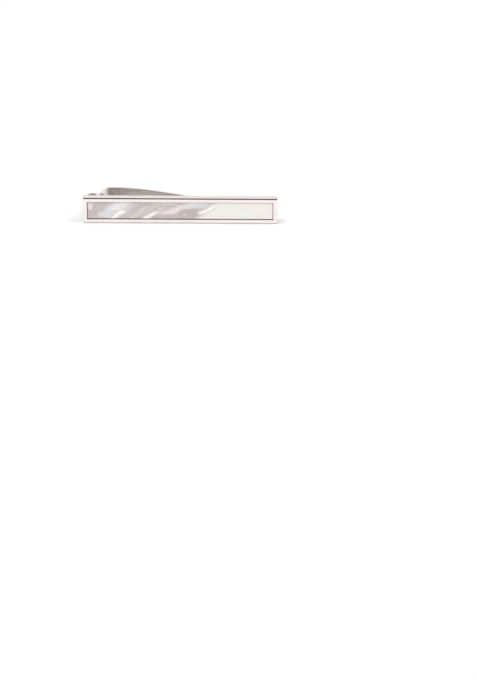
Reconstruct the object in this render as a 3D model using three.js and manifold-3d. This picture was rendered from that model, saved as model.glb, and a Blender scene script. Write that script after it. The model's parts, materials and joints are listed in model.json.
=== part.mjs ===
// Tie bar with a framed mother-of-pearl inlay and a sprung alligator clasp on its back.
//
// Millimetres. X runs along the bar, with the hinge near its -X end. The decorated face looks towards -Y,
// and the bar stands on its long lower edge, so +Z is up as it is on a worn tie. The origin is the middle
// of the bounding box's bottom.
import * as THREE from 'three';
import { mergeVertices } from 'three/addons/utils/BufferGeometryUtils.js';
import Module from 'manifold-3d';

const wasm = await Module();
wasm.setup();

// Driving dimensions of the bar and its inlay.
const BAR_LENGTH = 54;
const BAR_HEIGHT = 7.5;
const BAR_THICKNESS = 2.4;
const EDGE_CHAMFER = 0.27;
const BACK_CORNER_RADIUS = 0.5;
const RIM_WIDTH = 1.2;
const POCKET_DEPTH = 1;
const BED_THICKNESS = 0.3;
const BED_GAP = 0.02;
const PEARL_THICKNESS = 0.5;
const PEARL_GROOVE = 0.16;
const PEARL_CHAMFER = 0.08;
const REBATE_DEPTH = 0.7;
const REBATE_WALL = 0.8;
const SOLDER_GAP = 0.05;

// Driving dimensions of the clasp's hinge. Heights are measured away from the bar's back.
const CLASP_RISE = 7.8;
const HINGE_FROM_END = 5.2;
const PIN_HEIGHT = 1.8;
const PIN_RADIUS = 0.5;
const HEAD_RADIUS = 0.85;
const HEAD_THICKNESS = 0.27;
const HEAD_GAP = 0.03;
const HOLE_CLEARANCE = 0.06;
const BASE_HOLE_CLEARANCE = 0.03;
const EAR_GAP = 0.08;

// Driving dimensions of the upper jaw, along the bar from the pin.
const SHEET = 0.45;
const ARM_HALF_WIDTH = 3.1;
const ARM_TIP_HALF_WIDTH = 2.3;
const TAPER_START = 4;
const TAB_LENGTH = 4.4;
const TAB_HEIGHT = 1.425;
const TAB_CORNER = 1.3;
const TAB_BEND_RADIUS = 0.45;
const BEND_X = -0.75;
const STEEP_ANGLE = THREE.MathUtils.degToRad(68);
const SHOULDER_RADIUS = 1.2;
const ARCH_CREST = 9;
const ARCH_RADIUS = 40;
const JAW_START = 28;
const JAW_LENGTH = 9;
const JAW_BEND_RADIUS = 12;
const LIP_LENGTH = 2.6;
const LIP_RISE = 1;
const LIP_RADIUS = 2;
const FLANGE_DEPTH = 0.85;
const FLANGE_START = 0.4;
const FLANGE_END_SETBACK = 0.6;
const ARCH_END_SETBACK = 1.5;
const TOOTH_DEPTH = 0.35;
const TOOTH_COUNT = 10;
const TOOTH_TIP_SHARE = 0.7;
const JAW_GAP = 0.06;
const ARM_EAR_RADIUS = 1.15;
const ARM_EAR_TILT = THREE.MathUtils.degToRad(10);
const EAR_TOP = 3.6;
const EAR_SETBACK = 0.6;
const EAR_NECK = new THREE.Vector2(-1.7, 0.75);

// Driving dimensions of the lower jaw, with its ridges' shares of their pitch.
const BASE_THICKNESS = 0.5;
const BASE_SETBACK = 0.7;
const BASE_CORNER = 1.2;
const BASE_TIP_SETBACK = 0.2;
const BASE_TIP_CORNER = 1.6;
const BASE_EAR_RADIUS = 1.05;
const BASE_EAR_FOOT = 0.35;
const RIDGE_COUNT = 6;
const RIDGE_HEIGHT = 0.22;
const RIDGE_SINK = 0.1;
const RIDGE_MARGIN = 0.5;
const RIDGE_SIDE_GAP = 0.4;
const RIDGE_FOOT_SHARE = 0.42;
const RIDGE_TIP_SHARE = 0.2;

// Driving dimensions of the spring.
const WIRE_RADIUS = 0.2;
const WIRE_GAP = 0.03;
const COIL_RADIUS = 0.78;
const COIL_HALF_LENGTH = 1.75;
const COIL_TURNS = 5.5;
const LEG_LENGTH = 2.8;

// Places that follow from them.
const MID_Z = BAR_HEIGHT / 2;
const FRONT_Y = -(BAR_THICKNESS + CLASP_RISE) / 2;
const BACK_Y = FRONT_Y + BAR_THICKNESS;
const PIN_X = HINGE_FROM_END - BAR_LENGTH / 2;
const PIN_Y = BACK_Y + PIN_HEIGHT;
const BASE_TOP = BASE_THICKNESS - PIN_HEIGHT;
const BASE_HALF_WIDTH = ARM_HALF_WIDTH - SHEET - EAR_GAP;
const HUMP_HEIGHT = CLASP_RISE - PIN_HEIGHT - SHEET / 2;
const JAW_END = JAW_START + JAW_LENGTH;
const FLANGE_END = JAW_END - FLANGE_END_SETBACK;
const TOOTH_TIP = BASE_TOP + JAW_GAP;
const JAW_HEIGHT = TOOTH_TIP + FLANGE_DEPTH + TOOTH_DEPTH;

const CIRCLE_SEGMENTS = 32;
const CORNER_STEPS = 6;
const BEND_STEPS = 8;
const EAR_STEPS = 14;
const DOME_STEPS = 4;
const COIL_STEPS_PER_TURN = 14;
const WIRE_SIDES = 8;
const WIRE_STEPS = 100;
const WELD_DISTANCE = 1e-5;
const FAR = 60;

const polished = new THREE.MeshStandardMaterial({ color: 0xe9e2e0, roughness: 0.12, metalness: 1 });
const satin = new THREE.MeshStandardMaterial({ color: 0xd6d2cf, roughness: 0.3, metalness: 1 });
const steel = new THREE.MeshStandardMaterial({ color: 0xb9bcc0, roughness: 0.25, metalness: 1 });
const epoxy = new THREE.MeshStandardMaterial({ color: 0x4a4441, roughness: 0.5, metalness: 0 });
const nacre = new THREE.MeshStandardMaterial({ color: 0xdcd6d2, roughness: 0.18, metalness: 0 });

// Turns a closed geometry into a manifold solid.
function toSolid(geometry) {
  const bare = geometry.clone();
  bare.deleteAttribute('normal');
  bare.deleteAttribute('uv');
  const merged = mergeVertices(bare, WELD_DISTANCE);
  const mesh = new wasm.Mesh({
    numProp: 3,
    vertProperties: new Float32Array(merged.attributes.position.array),
    triVerts: new Uint32Array(merged.index.array),
  });
  return new wasm.Manifold(mesh);
}

// Turns a manifold solid back into a three.js geometry.
function toGeometry(solid) {
  const mesh = solid.getMesh();
  const geometry = new THREE.BufferGeometry();
  geometry.setAttribute('position', new THREE.BufferAttribute(mesh.vertProperties, 3));
  geometry.setIndex(new THREE.BufferAttribute(mesh.triVerts, 1));
  geometry.computeVertexNormals();
  return geometry;
}

function box(x0, x1, y0, y1, z0, z1) {
  const geometry = new THREE.BoxGeometry(x1 - x0, y1 - y0, z1 - z0);
  return geometry.translate((x0 + x1) / 2, (y0 + y1) / 2, (z0 + z1) / 2);
}

// Extrudes an outline in XY from z0 to z1.
function extrudeZ(points, z0, z1) {
  const options = { depth: z1 - z0, bevelEnabled: false };
  const geometry = new THREE.ExtrudeGeometry(new THREE.Shape(points), options);
  return geometry.translate(0, 0, z0);
}

// Extrudes an outline in XZ from y0 to y1.
function extrudeY(points, y0, y1) {
  const options = { depth: y1 - y0, bevelEnabled: false };
  const geometry = new THREE.ExtrudeGeometry(new THREE.Shape(points), options);
  return geometry.rotateX(Math.PI / 2).translate(0, y1, 0);
}

// Points on an arc about a centre, from one angle to another in radians.
function arc(x, y, radius, from, to, steps) {
  return Array.from({ length: steps + 1 }, (_, i) => {
    const angle = from + ((to - from) * i) / steps;
    return new THREE.Vector2(x + radius * Math.cos(angle), y + radius * Math.sin(angle));
  });
}

// A line through corners [x, y, radius], each rounded to its radius.
function roundedLine(corners) {
  const points = corners.map(([x, y]) => new THREE.Vector2(x, y));
  const line = [points[0]];
  for (let i = 1; i < points.length - 1; i += 1) {
    const before = points[i - 1].clone().sub(points[i]).normalize();
    const after = points[i + 1].clone().sub(points[i]).normalize();
    const half = Math.acos(THREE.MathUtils.clamp(before.dot(after), -1, 1)) / 2;
    const radius = corners[i][2];
    const middle = before.clone().add(after).normalize();
    const centre = points[i].clone().addScaledVector(middle, radius / Math.sin(half));
    const start = points[i].clone().addScaledVector(before, radius / Math.tan(half)).sub(centre);
    const end = points[i].clone().addScaledVector(after, radius / Math.tan(half)).sub(centre);
    const turn = Math.atan2(start.cross(end), start.dot(end));
    line.push(...arc(centre.x, centre.y, radius, start.angle(), start.angle() + turn, BEND_STEPS));
  }
  line.push(points.at(-1));
  return line;
}

// Moves a line sideways, to its left where the distance is positive.
function offsetLine(line, distance) {
  return line.map((point, i) => {
    const along = line[Math.min(i + 1, line.length - 1)].clone().sub(line[Math.max(i - 1, 0)]).normalize();
    return new THREE.Vector2(point.x - along.y * distance, point.y + along.x * distance);
  });
}

// The struck brass shell: a rim around the inlay's pocket, and a rebate behind for the back plate.
function barShell() {
  const left = -BAR_LENGTH / 2 + EDGE_CHAMFER;
  const right = -left;
  const front = FRONT_Y + EDGE_CHAMFER;
  const back = BACK_Y - EDGE_CHAMFER;
  const round = BACK_CORNER_RADIUS;
  const outline = [
    new THREE.Vector2(left, front),
    new THREE.Vector2(right, front),
    ...arc(right - round, back - round, round, 0, Math.PI / 2, CORNER_STEPS),
    ...arc(left + round, back - round, round, Math.PI / 2, Math.PI, CORNER_STEPS),
  ];
  const body = new THREE.ExtrudeGeometry(new THREE.Shape(outline), {
    depth: BAR_HEIGHT - 2 * EDGE_CHAMFER,
    bevelThickness: EDGE_CHAMFER,
    bevelSize: EDGE_CHAMFER,
    bevelSegments: 1,
  });
  body.translate(0, 0, EDGE_CHAMFER);
  const halfPocket = BAR_LENGTH / 2 - RIM_WIDTH;
  const pocket = box(
    -halfPocket, halfPocket, -FAR, FRONT_Y + POCKET_DEPTH, RIM_WIDTH, BAR_HEIGHT - RIM_WIDTH,
  );
  const halfRebate = BAR_LENGTH / 2 - REBATE_WALL;
  const rebate = box(
    -halfRebate, halfRebate, BACK_Y - REBATE_DEPTH, FAR, REBATE_WALL, BAR_HEIGHT - REBATE_WALL,
  );
  return toGeometry(toSolid(body).subtract(toSolid(pocket)).subtract(toSolid(rebate)));
}

// The dark epoxy that fills the pocket's floor and shows in the groove around the pearl.
function inlayBed() {
  const half = BAR_LENGTH / 2 - RIM_WIDTH - BED_GAP;
  const floor = FRONT_Y + POCKET_DEPTH;
  const low = RIM_WIDTH + BED_GAP;
  return box(-half, half, floor - BED_THICKNESS, floor, low, BAR_HEIGHT - low);
}

// The pearl slab, with a fine chamfer around both of its faces.
function pearlInlay() {
  const x = BAR_LENGTH / 2 - RIM_WIDTH - PEARL_GROOVE - PEARL_CHAMFER;
  const z = MID_Z - RIM_WIDTH - PEARL_GROOVE - PEARL_CHAMFER;
  const corners = [[-x, -z], [x, -z], [x, z], [-x, z]];
  const outline = new THREE.Shape(corners.map(([a, b]) => new THREE.Vector2(a, b)));
  const slab = new THREE.ExtrudeGeometry(outline, {
    depth: PEARL_THICKNESS - 2 * PEARL_CHAMFER,
    bevelThickness: PEARL_CHAMFER,
    bevelSize: PEARL_CHAMFER,
    bevelSegments: 1,
  });
  const back = FRONT_Y + POCKET_DEPTH - BED_THICKNESS;
  return slab.rotateX(Math.PI / 2).translate(0, back - PEARL_CHAMFER, MID_Z);
}

// The plate soldered into the shell's back.
function backPlate() {
  const half = BAR_LENGTH / 2 - REBATE_WALL - SOLDER_GAP;
  const low = REBATE_WALL + SOLDER_GAP;
  return box(-half, half, BACK_Y - REBATE_DEPTH, BACK_Y, low, BAR_HEIGHT - low);
}

// Everything below is drawn about the hinge's axis, at the middle of its length.
function placed(geometry) {
  return geometry.translate(PIN_X, PIN_Y, MID_Z);
}

function pinHole(radius) {
  return extrudeZ(arc(0, 0, radius, 0, 2 * Math.PI, CIRCLE_SEGMENTS).slice(0, -1), -FAR, FAR);
}

// The lower jaw: a strip along the back, with two ears folded up around the pin and a ridged grip.
function claspBase() {
  let solid = toSolid(extrudeY(basePlan(), BASE_TOP - BASE_THICKNESS, BASE_TOP));
  for (const side of [-1, 1]) {
    const faces = [side * (BASE_HALF_WIDTH - BASE_THICKNESS), side * BASE_HALF_WIDTH];
    solid = solid.add(toSolid(extrudeZ(baseEarOutline(), Math.min(...faces), Math.max(...faces))));
  }
  const ridgeHalf = ARM_TIP_HALF_WIDTH - SHEET - RIDGE_SIDE_GAP;
  const pitch = (JAW_LENGTH - 2 * RIDGE_MARGIN) / RIDGE_COUNT;
  for (let i = 0; i < RIDGE_COUNT; i += 1) {
    const middle = JAW_START + RIDGE_MARGIN + pitch * (i + 0.5);
    solid = solid.add(toSolid(extrudeZ(ridgeOutline(middle, pitch), -ridgeHalf, ridgeHalf)));
  }
  return placed(toGeometry(solid.subtract(toSolid(pinHole(PIN_RADIUS + BASE_HOLE_CLEARANCE)))));
}

// The strip's outline seen square to the bar.
function basePlan() {
  const left = BASE_SETBACK - TAB_LENGTH;
  const right = JAW_END + LIP_LENGTH - BASE_TIP_SETBACK;
  const [corner, tip, half] = [BASE_CORNER, BASE_TIP_CORNER, BASE_HALF_WIDTH];
  return [
    ...arc(left + corner, corner - half, corner, Math.PI, 1.5 * Math.PI, CORNER_STEPS),
    ...arc(right - tip, tip - half, tip, 1.5 * Math.PI, 2 * Math.PI, CORNER_STEPS),
    ...arc(right - tip, half - tip, tip, 0, 0.5 * Math.PI, CORNER_STEPS),
    ...arc(left + corner, half - corner, corner, 0.5 * Math.PI, Math.PI, CORNER_STEPS),
  ];
}

// A base ear, splayed a little where it leaves the strip.
function baseEarOutline() {
  const foot = BASE_EAR_RADIUS + BASE_EAR_FOOT;
  const bottom = BASE_TOP - BASE_THICKNESS;
  return [
    new THREE.Vector2(-foot, bottom),
    new THREE.Vector2(foot, bottom),
    ...arc(0, 0, BASE_EAR_RADIUS, 0, Math.PI, EAR_STEPS),
  ];
}

// One ridge of the grip, raked towards the open end.
function ridgeOutline(middle, pitch) {
  return [
    new THREE.Vector2(middle - pitch * RIDGE_FOOT_SHARE, BASE_TOP - RIDGE_SINK),
    new THREE.Vector2(middle + pitch * RIDGE_FOOT_SHARE, BASE_TOP - RIDGE_SINK),
    new THREE.Vector2(middle + pitch * RIDGE_TIP_SHARE, BASE_TOP + RIDGE_HEIGHT),
  ];
}

// Where the steep shoulder's middle line is at a height.
function shoulderX(height) {
  return BEND_X + (height - TAB_HEIGHT) / Math.tan(STEEP_ANGLE);
}

// The middle line of the upper jaw's sheet, from the thumb tab over the hump to the turned-up lip.
function armLine() {
  return roundedLine([
    [-TAB_LENGTH, TAB_HEIGHT],
    [BEND_X, TAB_HEIGHT, TAB_BEND_RADIUS],
    [shoulderX(HUMP_HEIGHT), HUMP_HEIGHT, SHOULDER_RADIUS],
    [ARCH_CREST, HUMP_HEIGHT, ARCH_RADIUS],
    [JAW_START, JAW_HEIGHT, JAW_BEND_RADIUS],
    [JAW_END, JAW_HEIGHT, LIP_RADIUS],
    [JAW_END + LIP_LENGTH, JAW_HEIGHT + LIP_RISE],
  ]);
}

// The arm's outline seen square to the bar, drawn in at its sides and run on past its ends.
function armPlan(inset, overrun) {
  const left = -TAB_LENGTH - overrun;
  const right = JAW_END + LIP_LENGTH + overrun;
  const wide = ARM_HALF_WIDTH - inset;
  const narrow = ARM_TIP_HALF_WIDTH - inset;
  const half = [
    ...arc(left + TAB_CORNER, TAB_CORNER - wide, TAB_CORNER, Math.PI, 1.5 * Math.PI, CORNER_STEPS),
    new THREE.Vector2(TAPER_START, -wide),
    ...arc(right - narrow, 0, narrow, 1.5 * Math.PI, 2 * Math.PI, BEND_STEPS),
  ];
  const mirrored = half.slice(0, -1).reverse().map((p) => new THREE.Vector2(p.x, -p.y));
  return [...half, ...mirrored];
}

// The side flanges' outline: shallow along the arch, deeper and toothed along the jaw.
function flangeOutline(line) {
  const upper = line.filter((p) => p.y > TAB_HEIGHT + SHEET / 2 || (p.x > 0 && p.x < FLANGE_END));
  upper.push(new THREE.Vector2(FLANGE_END, JAW_HEIGHT));
  const edge = offsetLine(line, -FLANGE_DEPTH)
    .filter((p, i) => line[i].y > TAB_HEIGHT && p.x > FLANGE_START && p.x < JAW_START - ARCH_END_SETBACK);
  const pitch = (FLANGE_END - JAW_START) / TOOTH_COUNT;
  const teeth = [];
  for (let i = 0; i < TOOTH_COUNT; i += 1) {
    teeth.push(new THREE.Vector2(JAW_START + pitch * i, TOOTH_TIP + TOOTH_DEPTH));
    teeth.push(new THREE.Vector2(JAW_START + pitch * (i + TOOTH_TIP_SHARE), TOOTH_TIP));
  }
  teeth.push(new THREE.Vector2(FLANGE_END, TOOTH_TIP + TOOTH_DEPTH));
  return [...upper, ...teeth.reverse(), ...edge.reverse()];
}

// One ear's outline around the pin, carried up into the tab and the steep shoulder.
function armEarOutline() {
  return [
    new THREE.Vector2(EAR_SETBACK - TAB_LENGTH, TAB_HEIGHT),
    new THREE.Vector2(EAR_SETBACK - TAB_LENGTH, TAB_HEIGHT - SHEET / 2),
    EAR_NECK,
    ...arc(0, 0, ARM_EAR_RADIUS, Math.PI - ARM_EAR_TILT, 2 * Math.PI + ARM_EAR_TILT, EAR_STEPS),
    new THREE.Vector2(shoulderX(EAR_TOP) + FLANGE_DEPTH, EAR_TOP),
    new THREE.Vector2(shoulderX(EAR_TOP), EAR_TOP),
    new THREE.Vector2(BEND_X, TAB_HEIGHT),
  ];
}

// The upper jaw: one folded strip with a thumb tab, ears, an arched back, toothed flanges and a lip.
function claspArm() {
  const line = armLine();
  const sheet = [...offsetLine(line, SHEET / 2), ...offsetLine(line, -SHEET / 2).reverse()].reverse();
  const outer = toSolid(extrudeY(armPlan(0, 0), -FAR, FAR));
  const inner = toSolid(extrudeY(armPlan(SHEET, ARM_HALF_WIDTH), -FAR, FAR));
  const web = toSolid(extrudeZ(sheet, -FAR, FAR)).intersect(outer);
  const sides = toSolid(extrudeZ(flangeOutline(line), -FAR, FAR))
    .add(toSolid(extrudeZ(armEarOutline(), -FAR, FAR)))
    .intersect(outer)
    .subtract(inner);
  const hole = toSolid(pinHole(PIN_RADIUS + HOLE_CLEARANCE));
  return placed(toGeometry(web.add(sides).subtract(hole)));
}

// The hinge pin, peened to a low dome at both ends.
function hingePin() {
  const shoulder = ARM_HALF_WIDTH + HEAD_GAP;
  const dome = arc(0, 0, 1, Math.PI / 2, 0, DOME_STEPS)
    .map((p) => new THREE.Vector2(p.x * HEAD_RADIUS, shoulder + p.y * HEAD_THICKNESS));
  const half = [...dome, new THREE.Vector2(PIN_RADIUS, shoulder)];
  const profile = [...half.map((p) => new THREE.Vector2(p.x, -p.y)), ...half.reverse()];
  return placed(toGeometry(toSolid(new THREE.LatheGeometry(profile, CIRCLE_SEGMENTS).rotateX(Math.PI / 2))));
}

// The torsion spring: a coil on the pin, with one leg on the base strip and one under the thumb tab.
function torsionSpring() {
  const steps = COIL_TURNS * COIL_STEPS_PER_TURN;
  const baseEnd = BASE_TOP + WIRE_RADIUS + WIRE_GAP;
  const tabEnd = TAB_HEIGHT - SHEET / 2 - WIRE_RADIUS - WIRE_GAP;
  const points = [new THREE.Vector3(-LEG_LENGTH, baseEnd, -COIL_HALF_LENGTH)];
  for (let i = 0; i <= steps; i += 1) {
    const angle = 2 * Math.PI * (COIL_TURNS * (i / steps) - 0.25);
    const z = COIL_HALF_LENGTH * ((2 * i) / steps - 1);
    points.push(new THREE.Vector3(COIL_RADIUS * Math.cos(angle), COIL_RADIUS * Math.sin(angle), z));
  }
  points.push(new THREE.Vector3(-LEG_LENGTH, tabEnd, COIL_HALF_LENGTH));
  const wire = new THREE.Shape(arc(0, 0, WIRE_RADIUS, 0, 2 * Math.PI, WIRE_SIDES).slice(0, -1));
  const path = new THREE.CatmullRomCurve3(points, false, 'centripetal');
  const options = { steps: WIRE_STEPS, extrudePath: path, bevelEnabled: false };
  return placed(new THREE.ExtrudeGeometry(wire, options));
}

function piece(name, geometry, material) {
  const mesh = new THREE.Mesh(geometry, material);
  mesh.name = name;
  return mesh;
}

const group = new THREE.Group();
group.add(piece('bar_shell', barShell(), polished));
group.add(piece('inlay_bed', inlayBed(), epoxy));
group.add(piece('pearl_inlay', pearlInlay(), nacre));
group.add(piece('back_plate', backPlate(), satin));
group.add(piece('clasp_base', claspBase(), satin));
group.add(piece('clasp_arm', claspArm(), polished));
group.add(piece('hinge_pin', hingePin(), steel));
group.add(piece('torsion_spring', torsionSpring(), steel));

export default group;
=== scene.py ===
"""Looks of a tie bar: a polished bar with a mother-of-pearl inlay and a sprung clasp on its back.

Shapes are drawn in millimetres and stored in metres. X runs along the bar, -Y is the way that the
decorated face looks, and Z is up. The clasp is drawn about its hinge, as (along the bar, away from
the bar's back, across the bar).
"""

import json
import math

import bmesh
import bpy
from mathutils import Matrix, Vector


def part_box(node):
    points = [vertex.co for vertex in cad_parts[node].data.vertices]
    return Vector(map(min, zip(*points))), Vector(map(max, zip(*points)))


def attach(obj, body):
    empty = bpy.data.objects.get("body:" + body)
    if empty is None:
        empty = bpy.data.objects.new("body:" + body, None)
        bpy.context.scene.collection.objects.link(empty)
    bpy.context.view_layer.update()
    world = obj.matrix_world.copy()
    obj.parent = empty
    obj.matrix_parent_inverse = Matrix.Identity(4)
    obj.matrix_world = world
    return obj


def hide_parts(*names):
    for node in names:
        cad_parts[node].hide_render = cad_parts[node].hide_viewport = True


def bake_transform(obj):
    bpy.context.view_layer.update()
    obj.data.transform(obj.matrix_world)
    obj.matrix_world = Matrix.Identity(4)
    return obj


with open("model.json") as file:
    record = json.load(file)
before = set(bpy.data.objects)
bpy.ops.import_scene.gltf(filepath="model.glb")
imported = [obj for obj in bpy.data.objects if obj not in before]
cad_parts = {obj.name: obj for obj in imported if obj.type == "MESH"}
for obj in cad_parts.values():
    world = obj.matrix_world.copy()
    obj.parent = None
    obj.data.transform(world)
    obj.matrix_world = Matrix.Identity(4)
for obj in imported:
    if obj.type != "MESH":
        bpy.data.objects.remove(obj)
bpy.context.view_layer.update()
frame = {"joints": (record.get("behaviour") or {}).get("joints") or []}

MM = 0.001

# The bar and its inlay, from the frame.
shell_low, shell_high = (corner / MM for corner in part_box("bar_shell"))
pearl_low, pearl_high = (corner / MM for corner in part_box("pearl_inlay"))
bed_low, bed_high = (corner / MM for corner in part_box("inlay_bed"))
plate_low, plate_high = (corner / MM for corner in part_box("back_plate"))
HALF_LENGTH = shell_high.x
HALF_HEIGHT = (shell_high.z - shell_low.z) / 2
MID_Z = (shell_high.z + shell_low.z) / 2
FRONT_Y = shell_low.y
BACK_Y = shell_high.y
BED_GAP = 0.02
SOLDER_GAP = 0.05
RIM = HALF_LENGTH - bed_high.x - BED_GAP
REBATE_WALL = HALF_LENGTH - plate_high.x - SOLDER_GAP
EDGE_CHAMFER = 0.27
LOOP_STEPS = 6
ROUND_STEPS = 48

# The clasp, from the frame and the hinge.
hinge = frame["joints"][0]
PIN = Vector(hinge["pos_m"]) / MM
arm_low, arm_high = (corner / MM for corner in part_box("clasp_arm"))
base_low, base_high = (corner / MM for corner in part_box("clasp_base"))
pin_low, pin_high = (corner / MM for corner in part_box("hinge_pin"))
SHEET = 0.45
ARM_HALF_WIDTH = arm_high.z - MID_Z
ARM_TIP_HALF_WIDTH = 2.3
ARM_EAR_RADIUS = 1.15
TAB_END = arm_low.x - PIN.x
LIP_END = arm_high.x - PIN.x
TAB_HEIGHT = 1.425
HUMP_HEIGHT = arm_high.y - PIN.y - SHEET / 2
STEEP_ANGLE = math.radians(68)
BEND_X = -0.75
EAR_TOP = 3.6
TAB_CORNER = 1.3
TAB_BEND_RADIUS = 0.45
SHOULDER_RADIUS = 1.2
ARCH_CREST = 9
ARCH_RADIUS = 40
TAPER_START = 4
JAW_START = 28
JAW_LENGTH = 9
JAW_BEND_RADIUS = 12
JAW_END = JAW_START + JAW_LENGTH - 0.6
LIP_RADIUS = 2
LIP_RISE = 1.0
ARM_EAR_TILT = math.radians(10)
EAR_SETBACK = 0.6
EAR_NECK = (-1.7, 0.75)
ARM_FOLD = 0.5
BASE_THICKNESS = 0.5
BASE_BOTTOM = base_low.y - PIN.y
BASE_TOP = BASE_BOTTOM + BASE_THICKNESS
BASE_HALF_WIDTH = base_high.z - MID_Z
BASE_EAR_RADIUS = 1.05
BASE_FOOT = BASE_EAR_RADIUS + 0.35
BASE_LOW_CORNER = 1.2
BASE_HIGH_CORNER = 1.6
BASE_FOLD = 0.3
FLANGE_DEPTH = 0.85
FLANGE_FADE = 0.35
TOOTH_DEPTH = 0.35
TOOTH_COUNT = 10
TOOTH_PITCH = (JAW_END - JAW_START) / TOOTH_COUNT
TOOTH_TIP_SHARE = 0.7
JAW_GAP = 0.06
TOOTH_TIP = BASE_TOP + JAW_GAP
JAW_HEIGHT = TOOTH_TIP + FLANGE_DEPTH + TOOTH_DEPTH
PIN_RADIUS = 0.5
HEAD_THICKNESS = 0.27
HEAD_RIM = 0.06
ARM_HOLE_CLEARANCE = 0.06
BASE_HOLE_CLEARANCE = 0.03
WIRE_RADIUS = 0.2
WIRE_GAP = 0.03
COIL_RADIUS = 0.78
COIL_HALF_LENGTH = 1.75
COIL_TURNS = 5.5
LEG_LENGTH = 2.8


# ---------------------------------------------------------------- mesh helpers


def make_object(name, points, faces):
    """A mesh object from points in millimetres, with its faces turned outwards."""
    mesh = bpy.data.meshes.new(name)
    mesh.from_pydata([Vector(p) * MM for p in points], [], faces)
    draft = bmesh.new()
    draft.from_mesh(mesh)
    bmesh.ops.remove_doubles(draft, verts=draft.verts, dist=1e-4 * MM)
    bmesh.ops.dissolve_degenerate(draft, edges=draft.edges, dist=1e-4 * MM)
    bmesh.ops.recalc_face_normals(draft, faces=draft.faces)
    draft.to_mesh(mesh)
    draft.free()
    item = bpy.data.objects.new(name, mesh)
    bpy.context.scene.collection.objects.link(item)
    return item


def apply_modifiers(item):
    """Replaces the object's mesh with what its modifiers make of it."""
    bpy.context.view_layer.update()
    ready = item.evaluated_get(bpy.context.evaluated_depsgraph_get())
    mesh = bpy.data.meshes.new_from_object(ready)
    item.modifiers.clear()
    old = item.data
    item.data = mesh
    mesh.name = item.name
    bpy.data.meshes.remove(old)


def smooth(item, angle=35):
    """Smooth shading, with sharp edges past an angle and large faces kept flat."""
    mesh = item.data
    mesh.polygons.foreach_set("use_smooth", [True] * len(mesh.polygons))
    mesh.set_sharp_from_angle(angle=math.radians(angle))
    weighted = item.modifiers.new("weighted normals", "WEIGHTED_NORMAL")
    weighted.weight = 100
    weighted.keep_sharp = True
    apply_modifiers(item)


def boolean(item, other, operation):
    """Joins another object to this one or cuts it out, and deletes the other."""
    cut = item.modifiers.new(operation, "BOOLEAN")
    cut.operation = operation
    cut.solver = "EXACT"
    cut.object = other
    apply_modifiers(item)
    old = other.data
    bpy.data.objects.remove(other)
    bpy.data.meshes.remove(old)


def rounded_rectangle(half_x, half_z, radius):
    """Points around a rectangle in XZ, with round corners."""
    points = []
    for corner, (side_x, side_z) in enumerate([(1, 1), (-1, 1), (-1, -1), (1, -1)]):
        for step in range(LOOP_STEPS + 1):
            angle = math.pi / 2 * (corner + step / LOOP_STEPS)
            x = side_x * (half_x - radius) + radius * math.cos(angle)
            z = side_z * (half_z - radius) + radius * math.sin(angle)
            points.append((x, z))
    return points


def stack_loops(name, loops):
    """A closed solid through loops of equal length, capped at its first and last."""
    count = len(loops[0])
    points = [point for loop in loops for point in loop]
    faces = [list(range(count)), list(range(len(points) - count, len(points)))]
    for ring in range(len(loops) - 1):
        for i in range(count):
            a = ring * count + i
            b = ring * count + (i + 1) % count
            faces.append([a, b, b + count, a + count])
    return make_object(name, points, faces)


def rounded_slab(name, half_x, half_z, radius, profile):
    """A flat piece in the bar, through rounded rectangles given as (inset, y)."""
    loops = []
    for inset, y in profile:
        ring = rounded_rectangle(half_x - inset, half_z - inset, radius)
        loops.append([(x, y, MID_Z + z) for x, z in ring])
    return stack_loops(name, loops)


def ring_about_pin(radius, z):
    """A circle of points about the hinge axis, at a distance along it from the middle."""
    turn = [2 * math.pi * i / ROUND_STEPS for i in range(ROUND_STEPS)]
    return [(PIN.x + radius * math.cos(t), PIN.y + radius * math.sin(t), PIN.z + z) for t in turn]


def quarter(radius, steps=4):
    """(sine, cosine) times a radius, from 0 to 90 degrees."""
    angles = [math.pi / 2 * i / steps for i in range(steps + 1)]
    return [(radius * math.sin(a), radius * math.cos(a)) for a in angles]


# ---------------------------------------------------------------- the bar


def bar_shell():
    """The bar: its rim around the inlay's pocket, softly rounded edges and the rebate behind."""
    lip_round = 0.07
    end_round = 0.5
    back_round = 0.14
    back_ease = 0.03
    ease = 0.012
    side_edge = ((0.0, 0.04), (ease, ease), (0.04, 0.0))
    face_edge = ((0.0, 0.04), (ease, ease), (0.05, 0.0))
    pocket_floor = bed_high.y
    rebate_floor = plate_low.y
    profile = []  # (inset at the ends, inset at the long edges, y)
    profile.append((REBATE_WALL, REBATE_WALL, rebate_floor))
    profile.append((REBATE_WALL, REBATE_WALL, BACK_Y - back_ease))
    profile.append((REBATE_WALL - back_ease, REBATE_WALL - back_ease, BACK_Y))
    profile.append((end_round + 0.02, back_round + 0.2, BACK_Y))
    for (end_in, end_out), (back_in, _) in zip(quarter(end_round, 8), quarter(back_round, 8)):
        profile.append((end_round - end_in, back_round - back_in, BACK_Y - end_round + end_out))
    for inset, depth in side_edge:
        profile.append((inset, inset, FRONT_Y + EDGE_CHAMFER + depth - ease))
    for inset, depth in face_edge:
        profile.append((EDGE_CHAMFER - ease + inset, EDGE_CHAMFER - ease + inset, FRONT_Y + depth))
    for s, c in quarter(lip_round, 3):
        profile.append((RIM - lip_round + s, RIM - lip_round + s, FRONT_Y + lip_round - c))
    profile.append((RIM, RIM, pocket_floor))
    loops = []
    for end_inset, edge_inset, y in profile:
        radius = max(0.16 - 0.5 * edge_inset, 0.04)
        ring = rounded_rectangle(HALF_LENGTH - end_inset, HALF_HEIGHT - edge_inset, radius)
        loops.append([(x, y, MID_Z + z) for x, z in ring])
    return stack_loops("shell_fine", loops)


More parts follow.
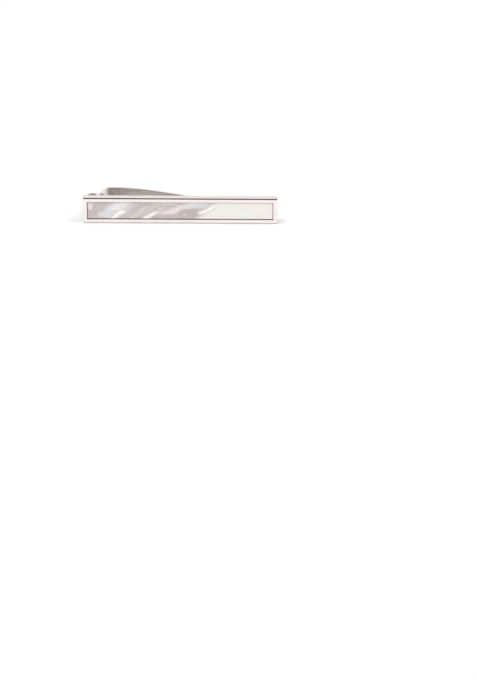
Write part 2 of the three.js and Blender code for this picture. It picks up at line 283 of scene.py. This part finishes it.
def inlay_bed():
    """Epoxy under the slab, drawn up in a shallow meniscus against the pocket's wall."""
    half_x = bed_high.x
    half_z = (bed_high.z - bed_low.z) / 2
    profile = [(0.0, bed_high.y), (0.0, bed_low.y - 0.12), (0.05, bed_low.y - 0.04), (0.12, bed_low.y)]
    profile.append((0.6, bed_low.y))
    return rounded_slab("bed_fine", half_x, half_z, 0.05, profile)


def pearl_slab():
    """The slab, with a fine polished edge all round its face."""
    half_x = pearl_high.x
    half_z = (pearl_high.z - pearl_low.z) / 2
    edge = 0.09
    profile = [(0.0, pearl_high.y)]
    profile += [(edge - c, pearl_low.y + edge - s) for s, c in quarter(edge)]
    return rounded_slab("pearl_fine", half_x, half_z, 0.12, profile)


def back_plate():
    """The plate in the bar's back, with its edge eased where the solder seam runs."""
    half_x = plate_high.x
    half_z = (plate_high.z - plate_low.z) / 2
    edge = 0.06
    profile = [(0.0, plate_low.y)]
    profile += [(edge - c, plate_high.y - edge + s) for s, c in quarter(edge, 3)]
    return rounded_slab("plate_fine", half_x, half_z, 0.1, profile)


# ---------------------------------------------------------------- the clasp


def rounded_line(corners, steps):
    """A line through corners (x, y, radius), each rounded to its radius."""
    points = [Vector(c[:2]) for c in corners]
    line = [points[0]]
    for i in range(1, len(points) - 1):
        before = (points[i - 1] - points[i]).normalized()
        after = (points[i + 1] - points[i]).normalized()
        half = before.angle(after) / 2
        radius = corners[i][2]
        centre = points[i] + (before + after).normalized() * radius / math.sin(half)
        start = points[i] + before * radius / math.tan(half) - centre
        end = points[i] + after * radius / math.tan(half) - centre
        turn = math.atan2(start.cross(end), start.dot(end))
        for step in range(steps + 1):
            line.append(centre + Matrix.Rotation(turn * step / steps, 2) @ start)
    line.append(points[-1])
    return line


def shoulder_x(height):
    """Where the steep shoulder's middle line is at a height."""
    return BEND_X + (height - TAB_HEIGHT) / math.tan(STEEP_ANGLE)


def arm_line():
    """The middle line of the arm's sheet, from the thumb tab to the lip."""
    corners = [
        (TAB_END, TAB_HEIGHT, 0),
        (BEND_X, TAB_HEIGHT, TAB_BEND_RADIUS),
        (shoulder_x(HUMP_HEIGHT), HUMP_HEIGHT, SHOULDER_RADIUS),
        (ARCH_CREST, HUMP_HEIGHT, ARCH_RADIUS),
        (JAW_START, JAW_HEIGHT, JAW_BEND_RADIUS),
        (JAW_START + JAW_LENGTH, JAW_HEIGHT, LIP_RADIUS),
        (LIP_END, JAW_HEIGHT + LIP_RISE, 0),
    ]
    return rounded_line(corners, 24)


def refine(line, longest, marks=()):
    """Adds points at marked places along x, and so that no step is longer than a length."""
    closest = 0.015
    keys = [line[0]]
    for a, b in zip(line, line[1:]):
        between = [(x - a.x) / (b.x - a.x) for x in marks if min(a.x, b.x) < x < max(a.x, b.x)]
        keys += [a.lerp(b, share) for share in sorted(between)] + [b]
    spaced = [keys[0]]
    for spot in keys[1:-1]:
        if (spot - spaced[-1]).length > closest and (spot - keys[-1]).length > closest:
            spaced.append(spot)
    spaced.append(keys[-1])
    dense = [spaced[0]]
    for a, b in zip(spaced, spaced[1:]):
        steps = math.ceil((b - a).length / longest)
        dense += [a.lerp(b, (i + 1) / steps) for i in range(steps)]
    return dense


def normals_of(line):
    """The unit normal to the left of the line at each of its points."""
    found = []
    for i in range(len(line)):
        along = line[min(i + 1, len(line) - 1)] - line[max(i - 1, 0)]
        found.append(Vector((-along.y, along.x)).normalized())
    return found


def inside(polygon, point):
    """Whether a point is inside a polygon."""
    odd = False
    for a, b in zip(polygon, polygon[1:] + polygon[:1]):
        if (a[1] > point.y) != (b[1] > point.y):
            if point.x < a[0] + (point.y - a[1]) * (b[0] - a[0]) / (b[1] - a[1]):
                odd = not odd
    return odd


def reach(start, direction, holds, longest=4.2, step=0.01):
    """How far along a direction the last point lies that a test holds for."""
    found = 0.0
    for i in range(int(longest / step)):
        if holds(start + direction * i * step):
            found = i * step
    return found


def strip_section(width, depth, thickness, fold):
    """Half a folded strip's section as (across, deep): its outer and inner sides, edge first.

    Both sides have the same number of points at every width and depth, and no two coincide.
    """
    inner_width = max(width - thickness, width * 0.4)
    wall = width - inner_width
    edge = min(0.09, 0.25 * wall, 0.3 * depth)
    inner_edge = min(edge, 0.4 * (depth - thickness))
    outer_fold = min(fold, width * 0.5, depth - edge - 0.02)
    fold_across = min(max(fold - thickness, 0.05), inner_width * 0.5)
    fold_deep = min(fold_across, 0.4 * (depth - thickness))
    outer = [(width - edge + s, depth - edge + c) for s, c in quarter(edge, 3)]
    outer += [(width - outer_fold + c, outer_fold - s) for s, c in quarter(outer_fold, 5)]
    inner = []
    for i, (s, c) in enumerate(quarter(inner_edge, 3)):
        inner.append((inner_width + inner_edge - s + wall * 0.02 * (4 - i), depth - inner_edge + c))
    for s, c in quarter(1.0, 5):
        inner.append((inner_width - fold_across * (1 - c), thickness + fold_deep * (1 - s)))
    return outer, inner


def folded_strip(name, line, normals, widths, depths, thickness, fold):
    """A strip of sheet along a line, with its two long edges folded over by a depth at each point.

    The line is the strip's outer face. Normals point out of it, and the flanges go the other way.
    Its first and last sections are drawn in a little, which eases the strip's ends.
    """
    points = []
    for i, (place, normal, width, depth) in enumerate(zip(line, normals, widths, depths)):
        outer, inner = strip_section(width, max(depth, thickness + 0.02), thickness, fold)
        ring = outer + [(-z, h) for z, h in reversed(outer)]
        ring += [(-z, h) for z, h in inner] + list(reversed(inner))
        thin, narrow = (0.65, 0.96) if i in (0, len(line) - 1) else (1, 1)
        for z, h in ring:
            spot = place - normal * (thickness / 2 + (h - thickness / 2) * thin)
            points.append((PIN.x + spot.x, PIN.y + spot.y, PIN.z + z * narrow))
    count = len(ring)
    faces = []
    for i in range(len(line) - 1):
        for k in range(count):
            a = i * count + k
            b = i * count + (k + 1) % count
            faces.append([a, b, b + count, a + count])
    for first in (0, len(points) - count):
        for k in range(count // 2 - 1):
            faces.append([first + k, first + k + 1, first + count - 2 - k, first + count - 1 - k])
    return make_object(name, points, faces)


def end_rounding(x, low, high, low_radius, high_radius):
    """How much a strip's half width shrinks near its two rounded ends."""
    shrink = 0.0
    if x < low + low_radius:
        part = (low + low_radius - x) / low_radius
        shrink = low_radius * (1 - math.sqrt(max(0.0, 1 - part * part)))
    if x > high - high_radius:
        part = (x - high + high_radius) / high_radius
        shrink = high_radius * (1 - math.sqrt(max(0.0, 1 - part * part)))
    return shrink


def rounding_marks(end, radius, degrees):
    """Places along a strip's rounded end, where its width needs a section."""
    return [end + radius * (1 - math.sin(math.radians(a))) for a in degrees]


def arm_half_width(x):
    """Half the arm's width at a place along it."""
    taper = min(max((x - TAPER_START) / (LIP_END - ARM_TIP_HALF_WIDTH - TAPER_START), 0), 1)
    full = ARM_HALF_WIDTH + (ARM_TIP_HALF_WIDTH - ARM_HALF_WIDTH) * taper
    return full - end_rounding(x, TAB_END, LIP_END, TAB_CORNER, ARM_TIP_HALF_WIDTH * 0.97)


def arm_ear():
    """The ear's outline, from the tab and the steep shoulder down around the pin."""
    sweep = math.pi + 2 * ARM_EAR_TILT
    turns = [math.pi - ARM_EAR_TILT + sweep * i / ROUND_STEPS for i in range(ROUND_STEPS + 1)]
    circle = [(ARM_EAR_RADIUS * math.cos(a), ARM_EAR_RADIUS * math.sin(a)) for a in turns]
    tip = TAB_END + EAR_SETBACK
    left = [(tip, TAB_HEIGHT), (tip, TAB_HEIGHT - SHEET / 2), EAR_NECK]
    top = shoulder_x(EAR_TOP)
    return left + circle + [(top + FLANGE_DEPTH, EAR_TOP), (top, EAR_TOP), (BEND_X, TAB_HEIGHT)]


def arm_depth(place, normal, ear):
    """How deep the flange is at a point of the arm's middle line."""
    depth = 0.0
    ear_reaches_to = 2
    if place.y > TAB_HEIGHT + 0.2 or 0 < place.x:
        depth = FLANGE_DEPTH
    if JAW_START <= place.x <= JAW_END:
        share = ((place.x - JAW_START) / TOOTH_PITCH) % 1
        tooth = share / TOOTH_TIP_SHARE
        if share >= TOOTH_TIP_SHARE:
            tooth = (1 - share) / (1 - TOOTH_TIP_SHARE)
        depth = place.y - TOOTH_TIP - TOOTH_DEPTH + TOOTH_DEPTH * tooth
    if place.x > JAW_END:
        depth = max(0.0, FLANGE_DEPTH * (1 - (place.x - JAW_END) / FLANGE_FADE))
    if place.x < ear_reaches_to:
        depth = max(depth, reach(place, -normal, lambda spot: inside(ear, spot)))
    return depth


def pin_hole(clearance):
    """A cylinder along the hinge axis, wider than the pin by a clearance, to cut through the ears."""
    half_length = pin_high.z - PIN.z
    loops = [ring_about_pin(PIN_RADIUS + clearance, z) for z in (half_length, -half_length)]
    return stack_loops("pin_hole", loops)


def clasp_arm():
    """The upper jaw, folded from one strip."""
    marks = [JAW_START + TOOTH_PITCH * i for i in range(TOOTH_COUNT + 1)]
    marks += [JAW_START + TOOTH_PITCH * (i + TOOTH_TIP_SHARE) for i in range(TOOTH_COUNT)]
    marks += rounding_marks(LIP_END, -ARM_TIP_HALF_WIDTH, range(10, 90, 8))
    marks += [JAW_END + FLANGE_FADE]
    marks += rounding_marks(TAB_END, TAB_CORNER, range(0, 90, 9))
    marks += [TAB_END + EAR_SETBACK + 0.1 * i for i in range(30)]
    line = refine(arm_line(), 0.5, marks)
    normals = normals_of(line)
    ear = arm_ear()
    depths = [arm_depth(p, n, ear) + SHEET / 2 for p, n in zip(line, normals)]
    widths = [arm_half_width(p.x) for p in line]
    outer = [p + n * SHEET / 2 for p, n in zip(line, normals)]
    arm = folded_strip("arm_fine", outer, normals, widths, depths, SHEET, ARM_FOLD)
    boolean(arm, pin_hole(ARM_HOLE_CLEARANCE), "DIFFERENCE")
    return arm


def clasp_base():
    """The lower jaw: a strip on the bar's back, with two ears folded up around the pin."""
    low = base_low.x - PIN.x
    high = base_high.x - PIN.x
    marks = [BASE_EAR_RADIUS * math.cos(math.radians(a)) for a in range(0, 181, 15)]
    marks += [-BASE_FOOT, BASE_FOOT]
    marks += rounding_marks(low, BASE_LOW_CORNER, range(0, 90, 9))
    marks += rounding_marks(high, -BASE_HIGH_CORNER, range(0, 90, 9))
    line = refine([Vector((low, BASE_BOTTOM)), Vector((high, BASE_BOTTOM))], 1.2, marks)
    normals = [Vector((0, -1))] * len(line)
    corners = (low, high, BASE_LOW_CORNER, BASE_HIGH_CORNER)
    widths = [BASE_HALF_WIDTH - end_rounding(p.x, *corners) for p in line]
    depths = []
    for p in line:
        if abs(p.x) <= BASE_EAR_RADIUS + 1e-6:
            top = math.sqrt(max(0, BASE_EAR_RADIUS**2 - p.x**2))
            depths.append(top - BASE_BOTTOM)
        else:
            share = max(0.0, (BASE_FOOT - abs(p.x)) / (BASE_FOOT - BASE_EAR_RADIUS))
            depths.append(BASE_THICKNESS - BASE_TOP * share)
    base = folded_strip("base_fine", line, normals, widths, depths, BASE_THICKNESS, BASE_FOLD)
    boolean(base, grip_ridges(), "UNION")
    boolean(base, pin_hole(BASE_HOLE_CLEARANCE), "DIFFERENCE")
    return base


def grip_ridges():
    """Six raked ridges across the grip, drawn as one saw-toothed bar."""
    count = 6
    half = ARM_TIP_HALF_WIDTH - SHEET - 0.4
    pitch = (JAW_LENGTH - 1) / count
    outline = []
    for i in range(count):
        x = JAW_START + 0.5 + pitch * (i + 0.5)
        outline += [(x - pitch * 0.42, BASE_TOP - 0.08), (x - pitch * 0.40, BASE_TOP + 0.02)]
        outline += [(x + pitch * 0.16, BASE_TOP + 0.2), (x + pitch * 0.24, BASE_TOP + 0.2)]
        outline += [(x + pitch * 0.40, BASE_TOP + 0.02), (x + pitch * 0.42, BASE_TOP - 0.08)]
    outline += [(JAW_START + JAW_LENGTH, BASE_TOP - 0.2), (JAW_START, BASE_TOP - 0.2)]
    loops = []
    for z in (-half, half):
        loops.append([(PIN.x + x, PIN.y + y, PIN.z + z) for x, y in outline])
    return stack_loops("ridges", loops)


def hinge_pin():
    """The pin, with a low dome peened at each end."""
    end = pin_high.z - PIN.z
    head = (pin_high.x - pin_low.x) / 2
    shoulder = end - HEAD_THICKNESS
    dome = HEAD_THICKNESS - HEAD_RIM
    profile = []
    for angle in range(9, 91, 9):
        turn = math.radians(angle)
        profile.append((head * math.sin(turn), shoulder + HEAD_RIM + dome * math.cos(turn)))
    profile += [(head, shoulder + 0.02), (head - 0.03, shoulder), (PIN_RADIUS, shoulder)]
    loops = [ring_about_pin(radius, z) for radius, z in profile]
    loops += [ring_about_pin(radius, -z) for radius, z in reversed(profile)]
    return stack_loops("pin_fine", loops)


def spring_path():
    """The wire's middle line: base leg, coil, then the leg under the thumb tab."""
    per_turn = 28
    leg_steps = 8
    steps = int(COIL_TURNS * per_turn)
    base_end = BASE_TOP + WIRE_RADIUS + WIRE_GAP
    tab_end = TAB_HEIGHT - SHEET / 2 - WIRE_RADIUS - WIRE_GAP
    path = []
    for i in range(leg_steps):
        share = i / leg_steps
        x = -LEG_LENGTH * (1 - share)
        y = base_end + (-COIL_RADIUS - base_end) * share**2
        path.append(Vector((x, y, -COIL_HALF_LENGTH)))
    for i in range(steps + 1):
        angle = -math.pi / 2 + 2 * math.pi * COIL_TURNS * i / steps
        z = COIL_HALF_LENGTH * (2 * i / steps - 1)
        path.append(Vector((COIL_RADIUS * math.cos(angle), COIL_RADIUS * math.sin(angle), z)))
    for i in range(1, leg_steps + 1):
        share = i / leg_steps
        y = COIL_RADIUS + (tab_end - COIL_RADIUS) * (1 - (1 - share) ** 2)
        path.append(Vector((-LEG_LENGTH * share, y, COIL_HALF_LENGTH)))
    return path


def torsion_spring():
    """The spring, as a round wire swept along its path with eased ends."""
    sides = 14
    path = spring_path()
    loops = []
    side = Vector((0, 0, 1))
    for i, place in enumerate(path):
        along = (path[min(i + 1, len(path) - 1)] - path[max(i - 1, 0)]).normalized()
        side = (side - along * side.dot(along)).normalized()
        other = along.cross(side)
        rings = [(0.0, WIRE_RADIUS)]
        if i == 0:
            rings = [(0.0, WIRE_RADIUS * 0.6), (0.05, WIRE_RADIUS * 0.93), (0.12, WIRE_RADIUS)]
        if i == len(path) - 1:
            rings = [(-0.12, WIRE_RADIUS), (-0.05, WIRE_RADIUS * 0.93), (0.0, WIRE_RADIUS * 0.6)]
        for shift, radius in rings:
            ring = []
            for k in range(sides):
                turn = 2 * math.pi * k / sides
                spot = place + along * shift + (side * math.cos(turn) + other * math.sin(turn)) * radius
                ring.append(PIN + spot)
            loops.append(ring)
    return stack_loops("spring_fine", loops)


# ---------------------------------------------------------------- materials


class Nodes:
    """A material's node tree, with short calls for the nodes that the materials share."""

    def __init__(self, name):
        self.material = bpy.data.materials.new(name)
        self.material.use_nodes = True
        self.tree = self.material.node_tree
        self.shader = self.tree.nodes["Principled BSDF"]
        coordinates = self.tree.nodes.new("ShaderNodeTexCoord")
        self.place = self.vector("MULTIPLY", coordinates.outputs["Object"], (1 / MM,) * 3)

    def put(self, socket, value):
        """Links a socket to another one, or sets it to a constant."""
        if isinstance(value, bpy.types.NodeSocket):
            self.tree.links.new(value, socket)
        else:
            socket.default_value = value

    def math(self, operation, *values):
        """A number worked out from others."""
        node = self.tree.nodes.new("ShaderNodeMath")
        node.operation = operation
        for socket, value in zip(node.inputs, values):
            self.put(socket, value)
        return node.outputs[0]

    def vector(self, operation, *values):
        """A vector worked out from others."""
        node = self.tree.nodes.new("ShaderNodeVectorMath")
        node.operation = operation
        for socket, value in zip(node.inputs, values):
            self.put(socket, value)
        return node.outputs[0]

    def noise(self, scale, stretch=(1, 1, 1), detail=2, roughness=0.5):
        """Noise over the object in millimetres, from 0 to 1."""
        node = self.tree.nodes.new("ShaderNodeTexNoise")
        self.put(node.inputs["Vector"], self.vector("MULTIPLY", self.place, stretch))
        node.inputs["Scale"].default_value = scale
        node.inputs["Detail"].default_value = detail
        node.inputs["Roughness"].default_value = roughness
        return node.outputs["Fac"]

    def ranged(self, value, from_low, from_high, to_low, to_high, smooth_ends=False):
        """A value moved from one range to another, and held at its ends."""
        node = self.tree.nodes.new("ShaderNodeMapRange")
        node.interpolation_type = "SMOOTHSTEP" if smooth_ends else "LINEAR"
        for name, given in zip(
            ("Value", "From Min", "From Max", "To Min", "To Max"),
            (value, from_low, from_high, to_low, to_high),
        ):
            self.put(node.inputs[name], given)
        return node.outputs["Result"]

    def mix(self, share, first, second):
        """The first colour, with a share of the second."""
        node = self.tree.nodes.new("ShaderNodeMix")
        node.data_type = "RGBA"
        self.put(node.inputs["Factor"], share)
        self.put(node.inputs[6], first)
        self.put(node.inputs[7], second)
        return node.outputs[2]

    def bump(self, height, strength, distance):
        """Fine relief, with its distance in millimetres."""
        node = self.tree.nodes.new("ShaderNodeBump")
        node.inputs["Strength"].default_value = strength
        node.inputs["Distance"].default_value = distance * MM
        self.put(node.inputs["Height"], height)
        self.put(self.shader.inputs["Normal"], node.outputs["Normal"])


def rgb(red, green, blue):
    """A display colour from 0 to 255 as a linear RGBA value."""
    def linear(value):
        value /= 255
        return value / 12.92 if value <= 0.04045 else ((value + 0.055) / 1.055) ** 2.4
    return (linear(red), linear(green), linear(blue), 1)


def metal(name, light, dark, roughness, grain_stretch, grain, bump_strength):
    """Plated metal with a faint cloud in its colour and fine polishing lines."""
    nodes = Nodes(name)
    cloud = nodes.ranged(nodes.noise(0.35, detail=3), 0.3, 0.7, 0, 1)
    nodes.put(nodes.shader.inputs["Base Color"], nodes.mix(cloud, light, dark))
    nodes.shader.inputs["Metallic"].default_value = 1
    lines = nodes.noise(grain, grain_stretch, detail=4, roughness=0.6)
    rough = nodes.ranged(lines, 0.3, 0.7, roughness * 0.7, roughness * 1.4)
    nodes.put(nodes.shader.inputs["Roughness"], rough)
    nodes.bump(lines, bump_strength, 0.004)
    return nodes.material


def polished_plate():
    """The bar and the arm."""
    return metal("polished plate", rgb(243, 235, 233), rgb(238, 231, 229), 0.07, (0.25, 3, 3), 3, 0.06)


def satin_plate():
    """The back plate and the base."""
    return metal("satin plate", rgb(226, 221, 218), rgb(214, 208, 205), 0.24, (0.12, 5, 5), 5, 0.25)


def spring_steel():
    """The pin and the spring."""
    return metal("drawn steel", rgb(206, 204, 202), rgb(190, 188, 186), 0.18, (2, 2, 2), 4, 0.1)


def dark_epoxy():
    """The adhesive that shows in the groove."""
    nodes = Nodes("dark epoxy")
    cloud = nodes.ranged(nodes.noise(1.2, detail=3), 0.35, 0.65, 0, 1)
    nodes.put(nodes.shader.inputs["Base Color"], nodes.mix(cloud, rgb(124, 112, 108), rgb(98, 88, 85)))
    nodes.put(nodes.shader.inputs["Roughness"], nodes.ranged(cloud, 0, 1, 0.35, 0.6))
    nodes.bump(cloud, 0.3, 0.03)
    return nodes.material


# Streaks of the pearl: colour, middle (x, z), lean (x per z), half width, lowest and highest z, strength.
# x is along the bar from its middle, and z is up from the bar's middle height, in millimetres.
PEARL_STREAKS = [
    ((228, 223, 225), (-17.6, 0.0), 0.95, 4.0, (-3.0, 3.0), 0.85),
    ((216, 224, 232), (-19.7, 0.4), 1.0, 1.5, (-1.4, 1.8), 0.7),
    ((240, 237, 240), (-17.2, 1.3), 1.2, 2.0, (0.3, 2.6), 0.8),
    ((255, 252, 251), (-17.3, -1.2), 1.3, 0.95, (-2.6, -0.1), 1.0),
    ((222, 212, 208), (-11.1, -0.3), 1.27, 1.2, (-2.2, 1.0), 0.8),
    ((208, 204, 196), (-7.9, 0.9), 1.3, 2.1, (-1.6, 3.0), 0.75),
    ((254, 250, 247), (-8.0, -1.2), 1.5, 1.1, (-2.8, -0.3), 1.0),
    ((218, 211, 224), (-5.9, 0.2), 1.4, 0.9, (-0.5, 1.0), 0.6),
    ((236, 226, 227), (0.4, 0.8), 2.5, 3.2, (-0.9, 2.4), 0.9),
]

# Soft patches of the pearl: colour, middle (x, z), half length, half height, strength.
PEARL_PATCHES = [
    ((240, 228, 228), (-24.9, 1.2), 0.8, 1.3, 0.9),
    ((198, 198, 192), (-22.0, 0.5), 1.2, 1.0, 0.6),
    ((238, 226, 216), (-22.4, -0.8), 0.35, 0.3, 0.8),
    ((236, 222, 214), (-21.6, -1.3), 0.5, 0.25, 0.7),
    ((216, 216, 210), (-3.4, 2.0), 3.2, 0.5, 0.75),
    ((186, 174, 171), (2.4, -0.6), 3.4, 1.3, 0.85),
    ((222, 212, 208), (1.2, -1.1), 0.5, 0.35, 0.8),
    ((190, 178, 168), (4.6, -0.2), 1.2, 0.9, 0.6),
    ((224, 227, 230), (5.6, 1.7), 3.4, 1.2, 0.8),
    ((232, 238, 232), (17.6, -0.9), 3.2, 1.2, 0.7),
    ((240, 230, 228), (22.6, -1.0), 2.6, 1.1, 0.7),
    ((240, 236, 226), (21.5, 1.3), 3.5, 0.8, 0.6),
]


def mother_of_pearl():
    """Nacre: taupe with leaning streaks over the left part, plain cream over the right."""
    nodes = Nodes("mother of pearl")
    split = nodes.tree.nodes.new("ShaderNodeSeparateXYZ")
    nodes.put(split.inputs[0], nodes.place)
    wander = nodes.ranged(nodes.noise(0.7, (1, 1, 1), detail=3), 0, 1, -0.7, 0.7)
    wander_up = nodes.ranged(nodes.noise(0.9, (1, 1, 2), detail=2), 0, 1, -0.35, 0.35)
    x = nodes.math("ADD", split.outputs[0], wander)
    z = nodes.math("ADD", nodes.math("SUBTRACT", split.outputs[2], MID_Z), wander_up)
    lean = nodes.math("SUBTRACT", x, nodes.math("MULTIPLY", z, 1.1))

    colour = nodes.mix(nodes.noise(0.5, detail=3), rgb(204, 193, 191), rgb(192, 182, 180))
    for tint, (mid_x, mid_z), slope, half, (low, high), strength in PEARL_STREAKS:
        along = nodes.math("SUBTRACT", x, nodes.math("MULTIPLY", nodes.math("SUBTRACT", z, mid_z), slope))
        across = nodes.math("ABSOLUTE", nodes.math("SUBTRACT", along, mid_x))
        share = nodes.ranged(across, half * 1.4, half * 0.1, 0, strength, True)
        for edge, outside in ((low, low - 0.4), (high, high + 0.4)):
            share = nodes.math("MULTIPLY", share, nodes.ranged(z, outside, edge, 0, 1, True))
        colour = nodes.mix(share, colour, rgb(*tint))

    cream = nodes.ranged(lean, 5.4, 9.0, 0, 1, True)
    cream_colour = nodes.mix(nodes.noise(0.25, detail=2), rgb(240, 238, 233), rgb(234, 232, 227))
    colour = nodes.mix(cream, colour, cream_colour)
    for tint, (mid_x, mid_z), half_x, half_z, strength in PEARL_PATCHES:
        dx = nodes.math("DIVIDE", nodes.math("SUBTRACT", x, mid_x), half_x)
        dz = nodes.math("DIVIDE", nodes.math("SUBTRACT", z, mid_z), half_z)
        away = nodes.math("ADD", nodes.math("MULTIPLY", dx, dx), nodes.math("MULTIPLY", dz, dz))
        colour = nodes.mix(nodes.ranged(away, 1.3, 0.1, 0, strength, True), colour, rgb(*tint))
    colour = pearl_swoosh(nodes, x, z, colour)

    growth = nodes.tree.nodes.new("ShaderNodeCombineXYZ")
    nodes.put(growth.inputs[0], lean)
    nodes.put(growth.inputs[2], nodes.math("MULTIPLY", z, 0.25))
    fine = nodes.tree.nodes.new("ShaderNodeTexNoise")
    nodes.put(fine.inputs["Vector"], growth.outputs[0])
    fine.inputs["Scale"].default_value = 1.6
    fine.inputs["Detail"].default_value = 5
    fine.inputs["Roughness"].default_value = 0.62
    deep = nodes.ranged(cream, 0, 1, 0.935, 0.99)
    veins = nodes.ranged(fine.outputs["Fac"], 0.35, 0.65, deep, 1.03)
    tone = nodes.vector("SCALE", colour)
    nodes.put(tone.node.inputs["Scale"], veins)
    nodes.put(nodes.shader.inputs["Base Color"], tone)
    nodes.put(nodes.shader.inputs["Roughness"], nodes.ranged(fine.outputs["Fac"], 0.3, 0.7, 0.14, 0.24))
    nodes.shader.inputs["Coat Weight"].default_value = 0.5
    nodes.shader.inputs["Coat Roughness"].default_value = 0.06
    nodes.shader.inputs["Subsurface Weight"].default_value = 0.15
    nodes.shader.inputs["Subsurface Radius"].default_value = (0.4 * MM, 0.35 * MM, 0.3 * MM)
    nodes.shader.inputs["Subsurface Scale"].default_value = 1
    nodes.bump(fine.outputs["Fac"], 0.05, 0.02)
    return nodes.material


def pearl_swoosh(nodes, x, z, colour):
    """The bright curved streak where the taupe meets the cream, with its grey lower edge."""
    start, end = 4.9, 10.1
    share = nodes.ranged(x, start, end, 0, 1)
    curve = nodes.ranged(nodes.math("POWER", share, 1.6), 0, 1, -0.6, 2.0)
    above = nodes.math("SUBTRACT", z, curve)
    ends = nodes.math(
        "MULTIPLY",
        nodes.ranged(x, start - 0.5, start + 1.2, 0, 1, True),
        nodes.ranged(x, end + 0.4, end - 1.8, 0, 1, True),
    )
    bands = [((190, 184, 182), -0.68, 0.36, 0.45), ((255, 251, 249), 0.0, 0.9, 0.92)]
    for tint, middle, half, strength in bands:
        across = nodes.math("ABSOLUTE", nodes.math("SUBTRACT", above, middle))
        band = nodes.ranged(across, half, half * 0.1, 0, strength, True)
        colour = nodes.mix(nodes.math("MULTIPLY", band, ends), colour, rgb(*tint))
    return colour


def floor_material():
    """A plain pale floor with a faint cloud."""
    nodes = Nodes("pale floor")
    cloud = nodes.noise(0.01, detail=2)
    nodes.put(nodes.shader.inputs["Base Color"], nodes.mix(cloud, rgb(246, 246, 245), rgb(241, 241, 240)))
    nodes.shader.inputs["Roughness"].default_value = 0.6
    nodes.shader.inputs["Specular IOR Level"].default_value = 0.2
    return nodes.material


# ---------------------------------------------------------------- camera, lights and floor


def camera():
    """A long lens that looks down on the bar, with the bar up and to the left of the middle."""
    distance = 650
    view_height = 188.9
    bar_left_of_middle = 16.36
    bar_above_middle = 36.26
    tilt = math.radians(26.6)
    roll = math.radians(0.3)
    back = Vector((0, -math.cos(tilt), math.sin(tilt)))
    up = Vector((0, math.sin(tilt), math.cos(tilt)))
    right = Vector((1, 0, 0))
    bar = Vector((0, (FRONT_Y + BACK_Y) / 2, MID_Z))
    target = bar + right * bar_left_of_middle - up * bar_above_middle
    data = bpy.data.cameras.new("camera")
    data.sensor_width = 36
    data.lens = data.sensor_width * distance / view_height
    data.clip_start = 0.01
    data.clip_end = 20
    item = bpy.data.objects.new("camera", data)
    bpy.context.scene.collection.objects.link(item)
    turn = Matrix((right, up, back)).transposed().to_4x4()
    place = Matrix.Translation((target + back * distance) * MM)
    item.matrix_world = place @ turn @ Matrix.Rotation(roll, 4, "Z")
    bpy.context.scene.camera = item


def area_light(name, place, size, power, glossy=True):
    """A soft light that faces the bar."""
    data = bpy.data.lights.new(name, "AREA")
    data.shape = "RECTANGLE"
    data.size, data.size_y = size
    data.energy = power
    item = bpy.data.objects.new(name, data)
    bpy.context.scene.collection.objects.link(item)
    item.location = place
    item.rotation_euler = (Vector((0, 0, 0)) - Vector(place)).to_track_quat("-Z", "Y").to_euler()
    item.visible_glossy = glossy
    return item


# The surround's brightness at the sine of an angle above the horizon, with a dark ceiling.
SURROUND = [(0.0, 0.9), (0.45, 1.0), (0.74, 1.0), (0.86, 0.06), (0.95, 0.06), (0.995, 0.6)]


def studio():
    """A pale floor, a white surround with a darker ceiling, and two soft lights."""
    bpy.ops.mesh.primitive_plane_add(size=6)
    floor = bpy.context.object
    floor.name = "floor"
    floor.data.materials.append(floor_material())
    area_light("key", (-0.35, -0.2, 1.15), (0.5, 0.5), 6.6, glossy=False)
    area_light("fill", (0.7, -0.1, 0.9), (0.6, 0.6), 3.3, glossy=False)
    world = bpy.data.worlds.new("surround")
    bpy.context.scene.world = world
    world.use_nodes = True
    tree = world.node_tree
    coordinates = tree.nodes.new("ShaderNodeTexCoord")
    split = tree.nodes.new("ShaderNodeSeparateXYZ")
    tree.links.new(coordinates.outputs["Generated"], split.inputs[0])
    ramp = tree.nodes.new("ShaderNodeValToRGB")
    tree.links.new(split.outputs[2], ramp.inputs["Fac"])
    stops = ramp.color_ramp.elements
    stops.remove(stops[1])
    for height, shade in SURROUND:
        stop = stops.new(height) if height > 0 else stops[0]
        stop.color = (shade, shade * 0.98, shade * 0.975, 1)
    tree.links.new(ramp.outputs["Color"], tree.nodes["Background"].inputs["Color"])
    tree.nodes["Background"].inputs["Strength"].default_value = 0.95
    bpy.context.scene.view_settings.view_transform = "Standard"


# ---------------------------------------------------------------- putting it together


def place_pieces():
    """Builds every piece and gives it its material, ties each but the spring to its body, and hides the
    CAD node that it stands in for.
    """
    polished, satin, steel = polished_plate(), satin_plate(), spring_steel()
    epoxy, pearl = dark_epoxy(), mother_of_pearl()
    pieces = [
        (bar_shell(), "bar_shell", "bar", "polished_plate", polished),
        (inlay_bed(), "inlay_bed", "bar", "epoxy", epoxy),
        (pearl_slab(), "pearl_inlay", "bar", "pearl", pearl),
        (back_plate(), "back_plate", "bar", "satin_plate", satin),
        (clasp_base(), "clasp_base", "bar", "satin_plate", satin),
        (clasp_arm(), "clasp_arm", "jaw", "polished_plate", polished),
        (hinge_pin(), "hinge_pin", "bar", "steel", steel),
    ]
    for item, node, body, slot, material in pieces:
        item.data.materials.clear()
        item.data.materials.append(material)
        smooth(item)
        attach(item, body)
        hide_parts(node)
    spring = torsion_spring()
    spring.data.materials.append(steel)
    smooth(spring)
    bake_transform(spring)
    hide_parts("torsion_spring")


camera()
studio()
place_pieces()
